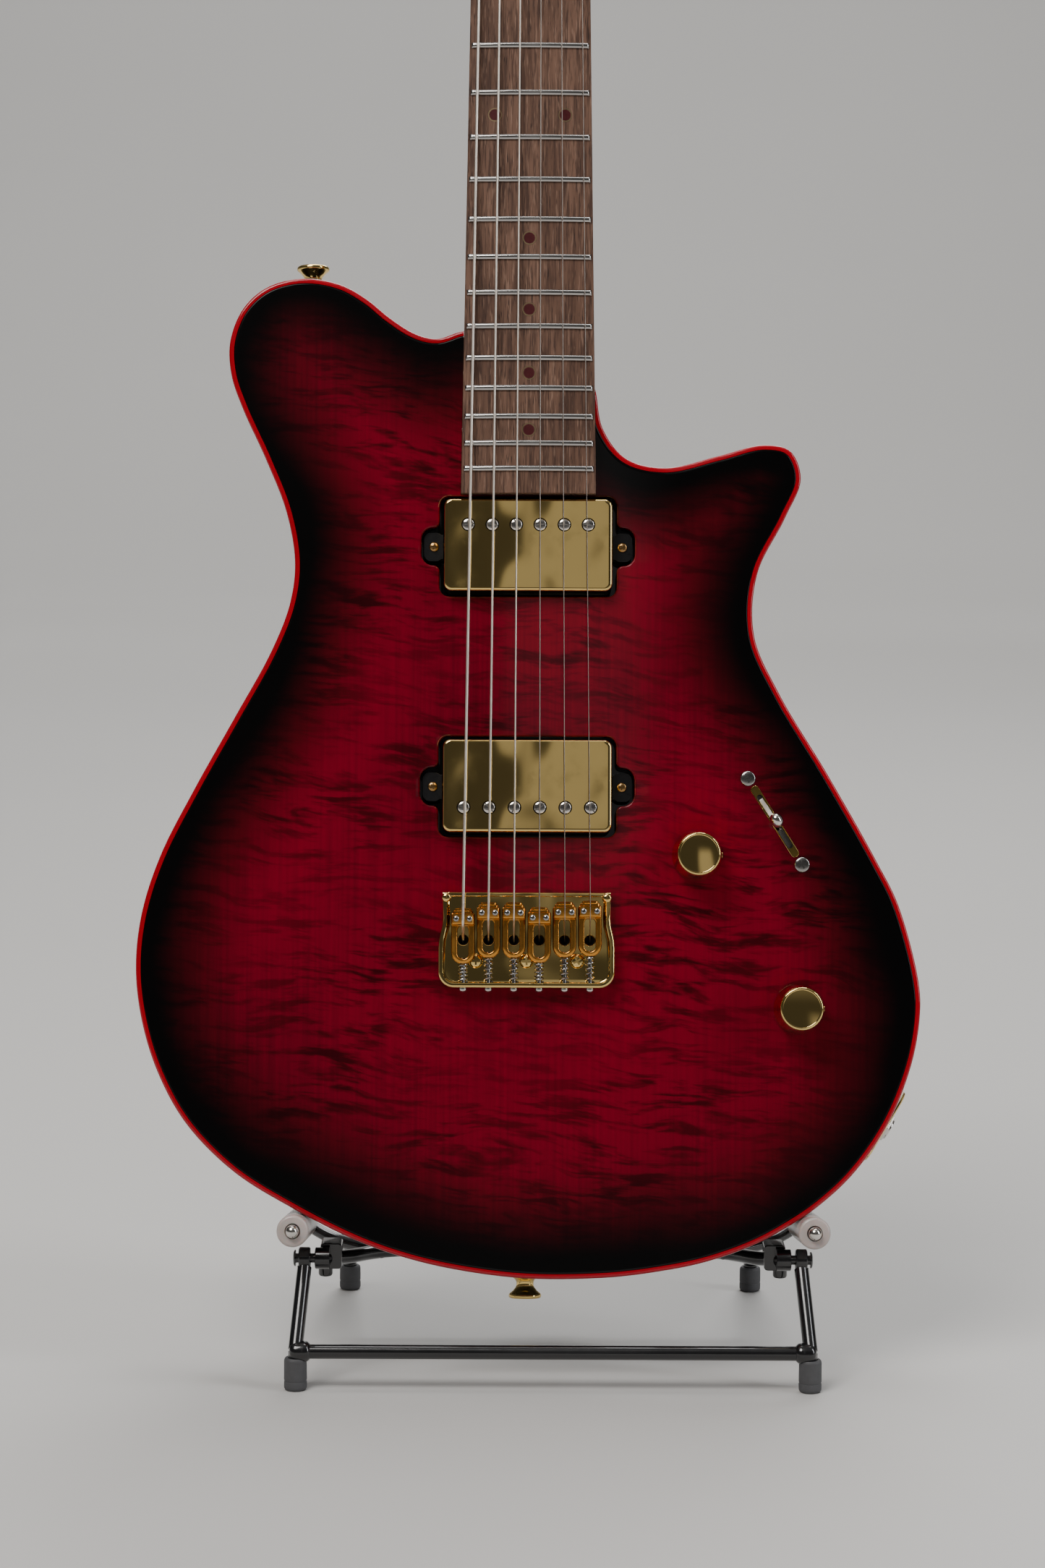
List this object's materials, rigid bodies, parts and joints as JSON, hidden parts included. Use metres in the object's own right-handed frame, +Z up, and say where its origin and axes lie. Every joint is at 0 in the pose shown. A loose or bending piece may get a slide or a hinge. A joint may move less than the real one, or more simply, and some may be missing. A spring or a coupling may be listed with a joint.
{
  "type": "guitar on stand",
  "caption": "Solid-body electric guitar with a flamed red top and gold hardware, leaning in a folding rod floor stand with rubber-sleeved arms and a back pad.",
  "frame": {"origin": "middle of the whole object's footprint, on the floor", "axes": "+Z up along the leaning guitar, -Y is the guitar's front, +X to the right seen from the front"},
  "size_m": [0.3256, 0.2248, 0.9818],
  "materials": {
    "black_lacquer": "high-gloss black lacquer over wood",
    "flamed_top": "high-gloss translucent red over flamed maple",
    "red_binding": "polished red binding",
    "neck_maple": "satin clear coat",
    "rosewood": "open-grain, oiled",
    "bone": "polished bone",
    "polished_gold": "mirror-polished gold plate",
    "satin_gold": "satin gold plate",
    "nickel": "polished nickel",
    "string_steel": "wound and plain strings",
    "black_plastic": "fine satin",
    "black_enamel": "gloss black enamel on steel rod",
    "grey_rubber": "matte rubber",
    "milky_rubber": "milky soft rubber"
  },
  "bodies": {
    "cradle": {"cradle_frame": "black_enamel", "back_rest_pad": "milky_rubber", "arm_sleeve_left": "milky_rubber", "arm_sleeve_right": "milky_rubber"},
    "front_legs": {"front_leg_frame": "black_enamel", "front_foot_left": "grey_rubber", "front_foot_right": "grey_rubber"},
    "rear_legs": {"rear_leg_frame": "black_enamel", "rear_foot_left": "grey_rubber", "rear_foot_right": "grey_rubber"},
    "guitar": {"body_back": "black_lacquer", "body_top": "flamed_top", "body_binding": "red_binding", "control_cover": "black_plastic", "neck": "neck_maple", "fingerboard": "rosewood", "nut": "bone", "neck_pickup_cover": "polished_gold", "neck_pickup_base": "black_plastic", "bridge_pickup_cover": "polished_gold", "bridge_pickup_base": "black_plastic", "bridge_plate": "polished_gold", "saddle_1": "satin_gold", "string_1": "string_steel", "saddle_2": "satin_gold", "string_2": "string_steel", "saddle_3": "satin_gold", "string_3": "string_steel", "saddle_4": "satin_gold", "string_4": "string_steel", "saddle_5": "satin_gold", "string_5": "string_steel", "saddle_6": "satin_gold", "string_6": "string_steel", "switch_frame": "nickel", "strap_button_top": "polished_gold", "strap_button_bottom": "polished_gold", "jack_plate": "polished_gold", "jack_socket": "nickel", "tuner_housing_1": "polished_gold", "tuner_housing_2": "polished_gold", "tuner_housing_3": "polished_gold", "tuner_housing_4": "polished_gold", "tuner_housing_5": "polished_gold", "tuner_housing_6": "polished_gold"},
    "volume_knob": {"volume_knob": "polished_gold"},
    "tone_knob": {"tone_knob": "polished_gold"},
    "selector": {"switch_lever": "nickel"},
    "tuner_post_1": {"tuner_post_1": "polished_gold"},
    "tuner_button_1": {"tuner_button_1": "polished_gold"},
    "tuner_post_2": {"tuner_post_2": "polished_gold"},
    "tuner_button_2": {"tuner_button_2": "polished_gold"},
    "tuner_post_3": {"tuner_post_3": "polished_gold"},
    "tuner_button_3": {"tuner_button_3": "polished_gold"},
    "tuner_post_4": {"tuner_post_4": "polished_gold"},
    "tuner_button_4": {"tuner_button_4": "polished_gold"},
    "tuner_post_5": {"tuner_post_5": "polished_gold"},
    "tuner_button_5": {"tuner_button_5": "polished_gold"},
    "tuner_post_6": {"tuner_post_6": "polished_gold"},
    "tuner_button_6": {"tuner_button_6": "polished_gold"}
  },
  "joints": [
    {"name": "front_leg_fold", "type": "hinge", "parent": "cradle", "child": "front_legs", "pos_m": [0.01089, -0.08563, 0.05], "axis": [1, 0, 0], "range_deg": [0, 60]},
    {"name": "rear_leg_fold", "type": "hinge", "parent": "cradle", "child": "rear_legs", "pos_m": [0.01089, -0.02363, 0.042], "axis": [-1, 0, 0], "range_deg": [0, 75]},
    {"name": "guitar_lift_off", "type": "slide", "parent": "cradle", "child": "guitar", "axis": [0, 0, 1], "range_m": [0, 0.3]},
    {"name": "volume_turn", "type": "hinge", "parent": "guitar", "child": "volume_knob", "pos_m": [0.07009, -0.06672, 0.21717], "axis": [0, -0.9833, 0.1822], "range_deg": [-150, 150]},
    {"name": "tone_turn", "type": "hinge", "parent": "guitar", "child": "tone_knob", "pos_m": [0.11229, -0.07827, 0.15483], "axis": [0, -0.9833, 0.1822], "range_deg": [-150, 150]},
    {"name": "selector_tilt", "type": "hinge", "parent": "guitar", "child": "selector", "pos_m": [0.10239, -0.04986, 0.22859], "axis": [0.8462, 0.0971, 0.524], "range_deg": [-20, 20]},
    {"name": "tuner_button_1_turn", "type": "hinge", "parent": "guitar", "child": "tuner_button_1", "pos_m": [-0.02471, 0.07422, 0.8574], "axis": [-1, 0, 0], "continuous": true},
    {"name": "tuner_post_1_turn", "type": "hinge", "parent": "guitar", "child": "tuner_post_1", "pos_m": [-0.02471, 0.0521, 0.85819], "axis": [0, -0.9367, 0.3502], "continuous": true},
    {"name": "tuner_button_2_turn", "type": "hinge", "parent": "guitar", "child": "tuner_button_2", "pos_m": [-0.02221, 0.08823, 0.89486], "axis": [-1, 0, 0], "continuous": true},
    {"name": "tuner_post_2_turn", "type": "hinge", "parent": "guitar", "child": "tuner_post_2", "pos_m": [-0.02221, 0.06611, 0.89566], "axis": [0, -0.9367, 0.3502], "continuous": true},
    {"name": "tuner_button_3_turn", "type": "hinge", "parent": "guitar", "child": "tuner_button_3", "pos_m": [-0.01971, 0.10224, 0.93233], "axis": [-1, 0, 0], "continuous": true},
    {"name": "tuner_post_3_turn", "type": "hinge", "parent": "guitar", "child": "tuner_post_3", "pos_m": [-0.01971, 0.08011, 0.93313], "axis": [0, -0.9367, 0.3502], "continuous": true},
    {"name": "tuner_button_4_turn", "type": "hinge", "parent": "guitar", "child": "tuner_button_4", "pos_m": [0.01829, 0.10224, 0.93233], "axis": [1, 0, 0], "continuous": true},
    {"name": "tuner_post_4_turn", "type": "hinge", "parent": "guitar", "child": "tuner_post_4", "pos_m": [0.01829, 0.08011, 0.93313], "axis": [0, -0.9367, 0.3502], "continuous": true},
    {"name": "tuner_button_5_turn", "type": "hinge", "parent": "guitar", "child": "tuner_button_5", "pos_m": [0.02079, 0.08823, 0.89486], "axis": [1, 0, 0], "continuous": true},
    {"name": "tuner_post_5_turn", "type": "hinge", "parent": "guitar", "child": "tuner_post_5", "pos_m": [0.02079, 0.06611, 0.89566], "axis": [0, -0.9367, 0.3502], "continuous": true},
    {"name": "tuner_button_6_turn", "type": "hinge", "parent": "guitar", "child": "tuner_button_6", "pos_m": [0.02329, 0.07422, 0.8574], "axis": [1, 0, 0], "continuous": true},
    {"name": "tuner_post_6_turn", "type": "hinge", "parent": "guitar", "child": "tuner_post_6", "pos_m": [0.02329, 0.0521, 0.85819], "axis": [0, -0.9367, 0.3502], "continuous": true}
  ],
  "couplings": [
    {"joint": "tuner_post_1_turn", "follows": "tuner_button_1_turn", "ratio": 0.066667},
    {"joint": "tuner_post_2_turn", "follows": "tuner_button_2_turn", "ratio": 0.066667},
    {"joint": "tuner_post_3_turn", "follows": "tuner_button_3_turn", "ratio": 0.066667},
    {"joint": "tuner_post_4_turn", "follows": "tuner_button_4_turn", "ratio": 0.066667},
    {"joint": "tuner_post_5_turn", "follows": "tuner_button_5_turn", "ratio": 0.066667},
    {"joint": "tuner_post_6_turn", "follows": "tuner_button_6_turn", "ratio": 0.066667}
  ]
}
